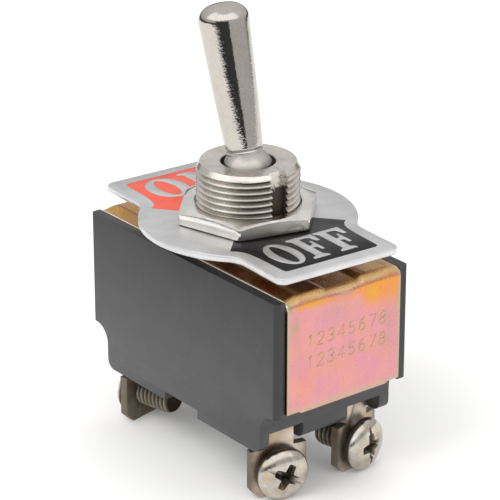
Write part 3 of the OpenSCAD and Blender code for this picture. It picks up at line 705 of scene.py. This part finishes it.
def build_plate():
    """Legend plate, its two printed fields, and the raised letters, which read along +Y."""
    hole_r, field_r = 6.1, 6.2
    rows = [(0.10, PLATE_LOW), (0.0, PLATE_LOW + 0.10), (0.0, PLATE_TOP - 0.12), (0.04, PLATE_TOP - 0.04),
            (0.14, PLATE_TOP)]
    slab("legend_plate_body", plate_outline(), rows, MAT["plate"], matrix=TURN, replaces=["legend_plate"],
         holes=[arc(0, 0, hole_r, hole_r, 0, 360, 72)[:-1]])

    side = [(7.9, -8.0), (8.35, -7.45), (9.0, -7.0), (9.9, -6.72), (11.5, -6.55), (15.6, -6.42),
            (15.95, -6.3), (16.1, -5.95)]
    field = side + [(x, -y) for x, y in side[::-1]] + arc(0, 0, field_r, field_r, 48, -48, 16)
    rows = [(0.0, PLATE_TOP - 0.02), (0.0, PLATE_TOP + 0.015), (0.03, PLATE_TOP + 0.03)]
    slab("off_field", field, rows, MAT["black"], matrix=TURN)
    slab("on_field", [(-x, -y) for x, y in field], rows, MAT["red"], matrix=TURN)

    rows = [(0.0, PLATE_TOP), (0.0, PLATE_TOP + 0.07), (0.05, PLATE_TOP + 0.11)]
    words = {
        "off": (15.12, {"o": letter_o(-5.55, 3.65, 1.06, 0.5), "f1": letter_f(-1.68), "f2": letter_f(2.06)}),
        "on": (-9.15, {"o": letter_o(-5.44, 4.95, 1.42, 0.55), "n": letter_n(0.15)}),
    }
    for word, (foot_x, letters) in words.items():
        for key, (outline, holes) in letters.items():
            loops = [[(foot_x - v, u) for u, v in loop] for loop in [outline] + holes]
            slab(f"{word}_letter_{key}", loops[0], rows, MAT["plate"], matrix=TURN, holes=loops[1:])


# ---------------------------------------- frame
FRAME_END, FRAME_SIDE, FRAME_FOOT = 17.85, 8.15, -13.75  # half its length and width, and the flanges' foot
SHEET, BEND = 0.8, 1.3


def frame_rise(x, y):
    """How far the pressed channel and the rolled long edges lift or lower the frame's top."""
    ends = smooth((abs(x) - 8.4) / 1.2)
    rise = -0.35 * ends * (1 - smooth((abs(y) - 2.1) / 0.9))
    rise -= 0.3 * smooth((abs(y) - 6.3) / 1.85)
    return rise + 0.05 * ends * bell(abs(y), 6.35, 0.22)


def frame_path(y, off):
    """Points along the strip at y, off below its outer face: up one flange, over the top, down the other."""
    foot = FRAME_FOOT - 0.22 * smooth((6.5 - abs(y)) / 0.4)
    half = [(FRAME_END - off, foot + (-BEND - foot) * i / 60, 0.0) for i in range(61)]
    middle = FRAME_END - BEND
    for i in range(1, 13):
        a = rad(90 * i / 12)
        half.append((middle + (BEND - off) * math.cos(a), -BEND + (BEND - off) * math.sin(a), smooth(i / 12)))
    half += [(middle * (1 - i / 48), -off, 1.0) for i in range(1, 49)]
    points = half + [(-x, z, share) for x, z, share in half[-2::-1]]
    return [(x + SHIFT, y, z + share * frame_rise(x + SHIFT, y)) for x, z, share in points]


def film(p):
    """Weights of the film's patches and of the painted highlight and shade: s runs down the end flange from
    the bend's crown, w across it.
    """
    depth = FRAME_END - abs(p.x - SHIFT)
    s, w = -p.z - 0.33 * depth, p.y - 0.78 * depth
    wave = noise.noise(Vector((p.x * 0.3, p.y * 0.45, p.z * 0.3 + 5)))
    if depth > 1.0 and s < 0.2:
        return top_film(p, wave)
    out = dict.fromkeys(FILM, 0.0)
    crest = 0.62 + 0.5 * bell(w, 0, 2.1) + 0.08 * math.sin(1.6 * w + 1)
    gold = 1 - 0.75 * smooth((s - 0.25) / 0.45) if s < 0.7 else 0.25 * smooth((crest + 0.2 - s) / 0.3)
    out["gold"] = gold * smooth((crest + 0.15 - s) / 0.4)
    # a painted highlight along the bend's crown
    out["painted_glint"] = 0.7 * smooth((crest + 0.1 - s) / 0.4) * smooth((s + 0.3) / 0.4)
    out["brown"] = 0.5 * smooth((0.32 - s) / 0.4) * band(w, -3.2, 1.8, 1.2) + 0.3 * smooth((0.1 - s) / 0.3)

    under = bell(s, crest + 0.5, 0.48) * (1 - 0.6 * bell(w, 0.1, 1.3)) * band(w, -6.9, 7.4, 0.8)
    corner = smooth((w - 1.4 - 0.3 * (s - 2)) / 2.2) * smooth((s - crest) / 0.5)
    corner *= smooth((4.6 - s + 0.5 * wave) / 2.6)
    tint = 0.22 * blob(w, s, -5.6, 11.2, 1.3, 1.6) + 0.14 * blob(w, s, -1.5, 9.6, 5.2, 0.9)
    tint += 0.12 * blob(w, s, -6.0, 8.0, 0.9, 2.4) + 0.12 * blob(w, s, 1.5, 7.0, 2.5, 0.5)
    tint += 0.2 * blob(w, s, 6.3, 4.4, 1.6, 1.2)
    out["orange"] = min(0.95, under + corner + tint + 0.05 * wave)
    out["yellow"] = 0.85 * blob(w, s, -4.7, 1.05, 1.2, 0.42) + 0.75 * blob(w, s, 4.0, 2.15, 0.95, 0.95)
    out["yellow"] += 0.35 * blob(w, s, 5.6, 1.3, 1.6, 0.3)
    out["violet"] = 0.75 * bell(s, crest, 0.24) * (0.55 + 0.45 * bell(w, 0.2, 2.2))
    out["violet"] += 0.20 * blob(w, s, -1.0, 3.0, 2.0, 1.6) + 0.24 * blob(w, s, 6.6, 6.3, 1.0, 2.0)
    out["violet"] += 0.18 * blob(w, s, 6.2, 9.2, 1.5, 1.2) + 0.2 * blob(w, s, -7.0, 4.0, 0.8, 2.0)
    out["green"] = 0.9 * blob(w, s, -7.8, 0.95, 0.45, 0.55) + 0.45 * blob(w, s, -7.1, 3.4, 0.5, 0.9)
    out["green"] += 0.3 * blob(w, s, 7.7, 4.0, 0.5, 1.6)

    sides = smooth((abs(p.y) - 7.6) / 0.5)
    out["green"] += 0.25 * sides * smooth((s - 1.5) / 1.0)
    out["pale"] = max(0.9 * sides * smooth((s - 0.3) / 0.8), 0.7 * smooth((s - 12.9) / 0.7))
    out["pale"] += 0.08 * max(wave, 0)
    # painted shade on the flange's side edges
    if abs(p.y) > FRAME_SIDE - 0.05 and s > 1.2:
        out["edge"] = 1.0
    # a painted highlight along the cut edge over the bend
    elif abs(p.y) > FRAME_SIDE - 0.16:
        out["cut"] = 0.9 * smooth((1.2 - s) / 0.5)
    return out


def top_film(p, wave):
    """Bands along the frame's top: fold lines near its long edges, painted dark as shade, and under the
    legend plate dark gold, deepened by brown bands that are partly film and partly painted shade.
    """
    out = dict.fromkeys(FILM, 0.0)
    y = p.y + 0.06 * math.sin(p.x * 0.9)
    shaded = smooth((p.x + 7.5) / 3)
    lit = 1 - shaded
    # brown under the legend plate: film colour, deepened as painted shade
    brown = 0.95 * band(y, -7.85, -6.35, 0.25) + 0.85 * band(y, -5.6, -2.65, 0.35)
    brown += 0.45 * band(y, -2.35, 2.95, 0.4) + 0.9 * band(y, 2.95, 3.85, 0.3)
    out["gold"] = 0.9 + 0.1 * wave
    out["yellow"] = lit * 0.4 * smooth(wave * 2 + 0.5)
    out["brown"] = shaded * min(1, brown) * (0.85 + 0.3 * wave) + lit * 0.18 * max(0, wave + 0.3)
    # painted shade along the fold lines near the long edges
    out["edge"] = max(lit * bell(y, -6.2, 0.13), 0.6 * bell(y, 6.75, 0.10))
    out["orange"] = 0.45 * lit * blob(y, p.x, -3.5, -14, 2.5, 3.0) + shaded * 0.3 * bell(y, -6.0, 0.25)
    out["violet"] = 0.35 * shaded * (blob(y, p.x, -4.2, 14.5, 0.8, 1.0) + blob(y, p.x, 0.8, 14.0, 1.2, 1.5))
    # a painted highlight along the near cut edge
    out["cut"] = smooth((-7.99 - p.y) / 0.06)
    out["pale"] = 0.25 * blob(y, p.x, 5.0, 14, 1.2, 2.0)
    return out


def build_frame():
    """Pressed channel frame, finely divided so that it can carry the film's patches."""
    steps, edge_round = 100, 0.09
    ys = [-FRAME_SIDE, -FRAME_SIDE + 0.07]
    ys += [-FRAME_SIDE + 0.2 + (2 * FRAME_SIDE - 0.4) * i / steps for i in range(steps + 1)]
    ys += [FRAME_SIDE - 0.07, FRAME_SIDE]
    cols = []
    for i, y in enumerate(ys):
        e = edge_round if i in (0, len(ys) - 1) else 0.0
        cols.append(frame_path(y, e) + frame_path(y, SHEET - e)[::-1])
    v, f = grid(cols, wrap_u=False, wrap_v=True)
    m = len(cols[0])
    for start in (0, (len(cols) - 1) * m):
        f += [(start + i, start + i + 1, start + m - 2 - i, start + m - 1 - i) for i in range(m // 2 - 1)]
    weights = {}

    def weight(name):
        def value(p):
            key = (round(p.x, 3), round(p.y, 3), round(p.z, 3))
            if key not in weights:
                weights[key] = film(p)
            return clamp(weights[key][name])
        return value

    piece("frame_channel", v, f, MAT["chromate"], "base", replaces=["frame"], slot="zinc", angle=35,
          fields={name: weight(name) for name in FILM})


def digit(k):
    """Strokes of a plain digit 1 wide and 1.5 high."""
    return {
        1: [[(0.25, 1.25), (0.55, 1.5), (0.55, 0)]],
        2: [arc(0.5, 1.05, 0.45, 0.42, 170, -35) + [(0.05, 0), (0.95, 0)]],
        3: [arc(0.45, 1.1, 0.42, 0.38, 150, -90) + arc(0.45, 0.38, 0.48, 0.38, 90, -150)],
        4: [[(0.72, 0), (0.72, 1.5), (0.02, 0.45), (1.0, 0.45)]],
        5: [[(0.88, 1.5), (0.15, 1.5), (0.1, 0.82)] + arc(0.45, 0.45, 0.45, 0.43, 110, -150)],
        6: [arc(0.85, 0.75, 0.78, 0.75, 95, 180, 5) + arc(0.5, 0.44, 0.42, 0.42, 170, -180, 14)],
        7: [[(0.05, 1.5), (0.95, 1.5), (0.35, 0)]],
        8: [arc(0.5, 1.12, 0.36, 0.36, -90, 270, 12), arc(0.5, 0.4, 0.45, 0.38, 90, -270, 12)],
    }[k]


def build_digits():
    """Two rows of plain digits, 1 to 8, standing proud of the end flange in the same plated metal."""
    stroke, proud, sunk, slant, narrow = 0.11, 0.04, 0.05, 0.10, 0.98
    first_y, pitch, lines_z = -5.0, 1.5, (-6.35, -8.9)
    face = FRAME_END + SHIFT
    section = [(1, -sunk), (0.9, 0.3 * proud), (0.35, proud),
               (-0.35, proud), (-0.9, 0.3 * proud), (-1, -sunk)]
    n = len(section)
    verts, faces = [], []
    for low in lines_z:
        for k in range(8):
            middle = first_y + pitch * k
            for line in digit(k + 1):
                pts = [Vector((middle + (u - 0.5) * narrow + slant * v, low + v)) for u, v in line]
                start, last = len(verts), len(pts) - 1
                for i, p in enumerate(pts):
                    d = (pts[min(i + 1, last)] - pts[max(i - 1, 0)]).normalized()
                    side = Vector((-d.y, d.x)) * stroke * (0.4 if i in (0, last) else 1.0)
                    verts += [(face + h, *(p + side * w)) for w, h in section]
                for i in range(start, start + last * n, n):
                    faces += [(i + j, i + (j + 1) % n, i + n + (j + 1) % n, i + n + j) for j in range(n)]
                faces += [tuple(range(start, start + n)), tuple(range(start + last * n, len(verts)))[::-1]]
    piece("end_flange_digits", verts, faces, MAT["chromate"], "base", merge=1e-5, slot="zinc", angle=40,
          fields={"green": lambda p: 0.5, "yellow": lambda p: 0.35})


# ---------------------------------------- terminals and screws
TERMINAL_X, TERMINAL_Y, SPLAY = 12.95, 5.65, 13.0  # from the case's middle, and degrees turned outward


def terminal_place(end, side):
    """Takes a tab's own frame, where +X points outwards, to the part's frame."""
    turn = (0 if end > 0 else 180) + end * side * SPLAY
    spot = Matrix.Translation((SHIFT + end * TERMINAL_X, side * TERMINAL_Y, 0))
    return spot @ Matrix.Rotation(rad(turn), 4, "Z")


def star(reach, tip, root):
    """A four-armed recess; tip and root are half an arm's width at its end and where the arms meet."""
    bevel, pts = 0.12, []
    arm = ((root, -root), (reach - bevel, -tip), (reach, -tip + bevel),
           (reach, tip - bevel), (reach - bevel, tip))
    for k in range(4):
        c, d = math.cos(rad(90 * k)), math.sin(rad(90 * k))
        pts += [(u * c - v * d, u * d + v * c) for u, v in arm]
    return pts


def box_outline(x, y):
    return [(-x, -y), (x, -y), (x, y), (-x, y)]


def build_screws():
    """Round-head screws, each with its cross recess and shallow slot turned to its own angle."""
    r, depth, pitch, tail = 1.7, 0.33, 0.6, -5.7
    head, rim, dome, n = 3.15, 0.45, 1.2, 72
    neck = -0.35  # where the thread stops under the head
    axis_z, half_sheet = -22.8935, 0.5  # the screws' height, and half the terminals' thickness
    gaps = {"common": 0.1, "load": 0.7}  # under the heads
    turns = {"common_a": 20, "common_b": 70, "load_a": 60, "load_b": 4}
    recess = [(star(0.8, 0.18, 0.2), 0.4), (star(1.35, 0.36, 0.42), 1.1), (star(1.75, 0.52, 0.62), 1.8)]
    slot = [(box_outline(2.9, 0.16), 1.18), (box_outline(2.9, 0.26), 1.8)]

    def limit(radius, z):
        return min(radius, r - depth + max(0, z - tail) * 0.7)

    def shank_shade(p):
        """Painted shade along the thread, most in its valleys and on the tail's end, and round the head's
        rim.
        """
        radius = math.hypot(p.x, p.y)
        if p.z < neck:
            return 0.45 + 0.45 * clamp((1.66 - radius) / 0.22) + (0.4 if p.z < tail + 0.1 else 0)
        if radius > head - 0.3 and p.z < rim - 0.03:
            return 0.9
        return 0.35 * smooth((radius - 2.75) / 0.35) * smooth((0.75 - p.z) / 0.3)

    def add_recess_shade(o, place):
        """Painted shade in what was cut into the head, the deeper the darker."""
        back = (Matrix.Scale(MM, 4) @ place).inverted()
        values = o.data.attributes["painted_shade"].data
        for value, vert in zip(values, o.data.vertices):
            q = back @ vert.co
            radius = math.hypot(q.x, q.y)
            if q.z > 0.1 and radius < 2.6:
                sunk = rim + dome * math.sqrt(1 - (radius / head) ** 2) - q.z
                in_cross, in_slot = 0.72 * smooth((sunk - 0.10) / 0.5), 0.5 * smooth((sunk - 0.08) / 0.2)
                cut = in_cross if radius < 1.9 else in_slot
                value.value = max(value.value, cut)

    for end, word in ENDS:
        for side, pole in POLES:
            name = f"{word}_screw_{pole}"
            out = Matrix.Translation((half_sheet + gaps[word], 0, axis_z))
            m = terminal_place(end, side) @ out @ Matrix.Rotation(rad(90), 4, "Y")
            cols = []
            for i in range(n):
                a = 2 * math.pi * i / n
                rows = [(0, tail + 0.12), (0.5, tail), (r - 0.42, tail)]
                rows += thread_rows(i / n, r, depth, pitch, tail, neck, limit, 8)
                rows += [(r, neck + 0.05), (r + 0.05, 0.0)]
                rows += [(2.95, 0.0), (3.1, 0.05), (head, 0.18), (head, 0.40)]
                rows += [(head * math.cos(rad(t)) ** 0.9, rim + dome * math.sin(rad(t)))
                         for t in (5, 12, 20, 29, 38, 47, 56, 65, 74, 82)]
                rows += [(0, rim + dome)]
                cols.append([(q * math.cos(a), q * math.sin(a), z) for q, z in rows])
            v, f = grid(cols)
            o = piece(f"{name}_body", v, f, MAT["screw"], name, replaces=[name], slot="nickel", matrix=m,
                      angle=28, fields={"painted_shade": shank_shade})
            place = m @ Matrix.Rotation(rad(turns[f"{word}_{pole}"]), 4, "Z")
            apply_cut(o, [prism(recess, place), prism(slot, place)])
            add_recess_shade(o, place)
            o.data.set_sharp_from_angle(angle=rad(28))


def build_terminals():
    """The CAD's own terminals, softened, with painted shade on the inner side, round the edges and under the
    case.
    """
    half_tab, underside, shade_reach = 3.5, -19.4, 0.4
    for end, word in ENDS:
        for side, pole in POLES:
            back = terminal_place(end, side).inverted()

            # painted shade on the inner side, round the edges and under the case
            def painted_shade(p):
                q = back @ Vector(p)
                inner = (0.75 if end < 0 else 0.25) * smooth((-0.35 - q.x) / 0.1)
                rim = 0.7 * smooth((abs(q.y) - half_tab + 0.10) / 0.08)
                return min(1, max(inner, rim, 0.6 * smooth((q.z - underside + shade_reach) / shade_reach)))

            def tarnish(p):
                q = back @ Vector(p)
                n = noise.noise(Vector((q.y * 0.9 + 7 * end, q.z * 1.4 + q.y * 0.9, 3 * side)))
                return 0.6 * smooth((n - 0.12) / 0.25)

            soften(f"{word}_terminal_{pole}_body", f"{word}_terminal_{pole}", MAT["terminal"], "base", 0.12,
                   slot="terminal", fields={"painted_shade": painted_shade, "tarnish": tarnish})


# ---------------------------------------- case and insides
def build_case():
    low, high = (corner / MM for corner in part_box("case"))
    bevel = 0.5

    def painted_shade(p):
        """Painted shade: darker down the bevelled corners, less so on the ends and along the top edge."""
        to_end = min(p.x - low.x, high.x - p.x)
        beyond = to_end + min(p.y - low.y, high.y - p.y) - bevel
        corner = 0.75 * smooth((0.11 - beyond) / 0.08) if p.z > -18 else 0.0
        end_face = 0.25 * smooth((0.1 - to_end) / 0.08)
        top_edge = 0.35 * bell(p.z, -0.3, 0.5) * smooth((10 - p.x) / 8) if abs(p.y) > 8.3 else 0.0
        return max(corner, end_face, top_edge)

    soften("case_moulding", "case", MAT["phenolic"], "base", 0.14, slot="phenolic", fields={"painted_shade": painted_shade})


def build_springs():
    """A wire coil with closed ends from the lever's actuator to each plunger, squeezed as that slides."""
    wire, coil, turns, per_turn, sides = 0.14, 0.98, 5, 28, 10
    n = turns * per_turn
    for pole in "ab":
        node = f"spring_{pole}"
        pts = [LEVER_PLACE.inverted() @ (v.co / MM) for v in nodes[node].data.vertices]
        low, high = min(q.z for q in pts), max(q.z for q in pts)
        y = (min(q.y for q in pts) + max(q.y for q in pts)) / 2
        cols = []
        for i in range(n + 1):
            a = 2 * math.pi * i / per_turn
            share = 0.25 * smooth(i / n) + 0.75 * i / n
            z = low + wire + (high - low - 2 * wire) * share
            section = arc(coil, 0, wire, wire, 0, 360, sides)[:-1]
            cols.append([(q * math.cos(a), y + q * math.sin(a), z + h) for q, h in section])
        v, f = grid(cols, wrap_u=False, wrap_v=True)
        f += [tuple(range(sides)), tuple(range(n * sides, (n + 1) * sides))[::-1]]
        o = piece(f"{node}_wire", v, f, MAT["steel"], None, replaces=[node], slot="steel", matrix=LEVER_PLACE,
                  angle=40)
        top, bottom = (MM * (LEVER_PLACE @ Vector((0, y, z))) for z in (high, low))
        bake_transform(o, "lever", f"plunger_{pole}", start=top, end=bottom)


def build_inside():
    """Materials for the nodes whose CAD shape stays."""
    inside = {
        "steel": ["pivot_pin", "lock_washer"],
        "fibre": ["actuator"],
        "brass": ["plunger_a", "plunger_b", "rocker_a", "rocker_b"],
        "silver": ["moving_contact_a", "moving_contact_b", "fixed_contact_a", "fixed_contact_b"],
    }
    for mat, names in inside.items():
        for name in names:
            me = nodes[name].data
            me.materials.clear()
            me.materials.append(MAT[mat])


# ---------------------------------------- stage
def azimuth(degrees):
    """Where a direction round Z lies on the studio's 0 to 1 scale."""
    return (degrees + 180) / 360


def height(z):
    """Where a direction's z, -1 to 1, lies on the studio's 0 to 1 scale."""
    return (z + 1) / 2


def build_floor():
    """A pale disc, small enough that the lever mirrors the dark foot of the tent beyond its edge."""
    radius, n = 0.40, 96
    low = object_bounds()[0][2]
    me = bpy.data.meshes.new("floor")
    me.from_pydata([(x, y, low) for x, y in arc(0, 0, radius, radius, 0, 360, n)[:-1]], [], [tuple(range(n))])
    floor = bpy.data.objects.new("floor", me)
    bpy.context.scene.collection.objects.link(floor)
    m, _, b = tree("floor_white")
    b.inputs["Base Color"].default_value = (0.80, 0.795, 0.785, 1)
    b.inputs["Roughness"].default_value = 0.9
    b.inputs["Specular IOR Level"].default_value = 0.1
    b.inputs["Emission Color"].default_value = (1, 1, 1, 1)
    b.inputs["Emission Strength"].default_value = 0.12
    me.materials.append(m)


def build_tent():
    """A white tent with a dark gap along its foot, widest in front, grey to the right, and one soft box."""
    w = bpy.data.worlds.new("studio")
    bpy.context.scene.world = w
    w.use_nodes = True
    t = w.node_tree
    direction = add(t, "ShaderNodeTexCoord").outputs["Generated"]
    xyz = add(t, "ShaderNodeSeparateXYZ", {"Vector": direction})
    angle = maths(t, "ARCTAN2", xyz.outputs["Y"], xyz.outputs["X"])
    ins = {"Value": angle, "From Min": -math.pi, "From Max": math.pi}
    turn = add(t, "ShaderNodeMapRange", ins).outputs[0]
    ins = {"Value": xyz.outputs["Z"], "From Min": -1, "From Max": 1}
    rise = add(t, "ShaderNodeMapRange", ins).outputs[0]

    def wall(*stops):
        return ramp(t, rise, [(height(z), grey(v)) for z, v in stops])

    def between(value, scale, start, full, fading, end):
        """White from full to fading, and black before start and after end."""
        return ramp(t, value, [(scale(start), grey(0)), (scale(full), grey(1)),
                               (scale(fading), grey(1)), (scale(end), grey(0))])

    around = wall((-0.12, 0.10), (0.02, 0.10), (0.07, 0.60), (0.4, 0.72), (0.9, 0.85))
    front = wall((-0.12, 0.055), (0.16, 0.065), (0.26, 0.75), (0.4, 1.0), (0.9, 0.85))
    right = wall((-0.12, 0.58), (0.10, 0.62), (0.3, 0.70), (0.6, 0.85), (0.9, 0.85))
    in_front = between(turn, azimuth, -78, -72, -17, -13)
    at_right = between(turn, azimuth, -17, -13, 64, 84)
    sky = mix(t, at_right, mix(t, in_front, around, front), right)
    box_side = between(turn, azimuth, -140, -126, 30, 44)
    box_rise = between(rise, height, 0.27, 0.35, 0.84, 0.92)
    sky = mix(t, mix(t, 1.0, box_side, box_rise, "MULTIPLY"), sky, grey(1.5))
    background = t.nodes["Background"]
    seen = add(t, "ShaderNodeLightPath").outputs["Is Camera Ray"]
    t.links.new(mix(t, seen, sky, grey(0.97)), background.inputs["Color"])
    background.inputs["Strength"].default_value = 1.0


def build_lamp(name, turn, lift, size, power):
    """A round lamp aimed at the origin from azimuth turn and elevation lift, which no surface mirrors."""
    distance = 0.6
    lamp = bpy.data.lights.new(name, "AREA")
    lamp.shape, lamp.size, lamp.energy = "DISK", size, power
    o = bpy.data.objects.new(name, lamp)
    bpy.context.scene.collection.objects.link(o)
    a, e = rad(turn), rad(lift)
    o.location = Vector((math.cos(a) * math.cos(e), math.sin(a) * math.cos(e), math.sin(e))) * distance
    o.rotation_euler = (-o.location).to_track_quat("-Z", "Y").to_euler()
    o.visible_glossy = False


def build_camera():
    """A long lens at the photo's angle: 52 degrees round from -Y towards +X, and 22.6 up."""
    a, e, distance = rad(52.0), rad(22.6), 286
    aim, aside, down = Vector((0, 0, 2.7)), 0.22, 4.1
    back = Vector((math.sin(a) * math.cos(e), -math.cos(a) * math.cos(e), math.sin(e)))
    right = Vector((math.cos(a), math.sin(a), 0))
    up = back.cross(right)
    cam = bpy.data.cameras.new("camera")
    cam.sensor_width, cam.lens, cam.clip_start = 36.0, 180.0, 0.01
    o = bpy.data.objects.new("camera", cam)
    bpy.context.scene.collection.objects.link(o)
    place = Matrix((right, up, back)).transposed().to_4x4()
    place.translation = (aim + back * distance + right * aside - up * down) * MM
    o.matrix_world = place
    bpy.context.scene.camera = o


build_case()
build_frame()
build_digits()
build_bushing()
build_nut()
build_lever()
build_plate()
build_terminals()
build_screws()
build_springs()
build_inside()
build_floor()
build_tent()
build_lamp("key", turn=-85, lift=52, size=0.3, power=1.05)
build_lamp("top", turn=120, lift=70, size=0.4, power=0.75)
build_camera()
bpy.context.scene.view_settings.view_transform = "Standard"
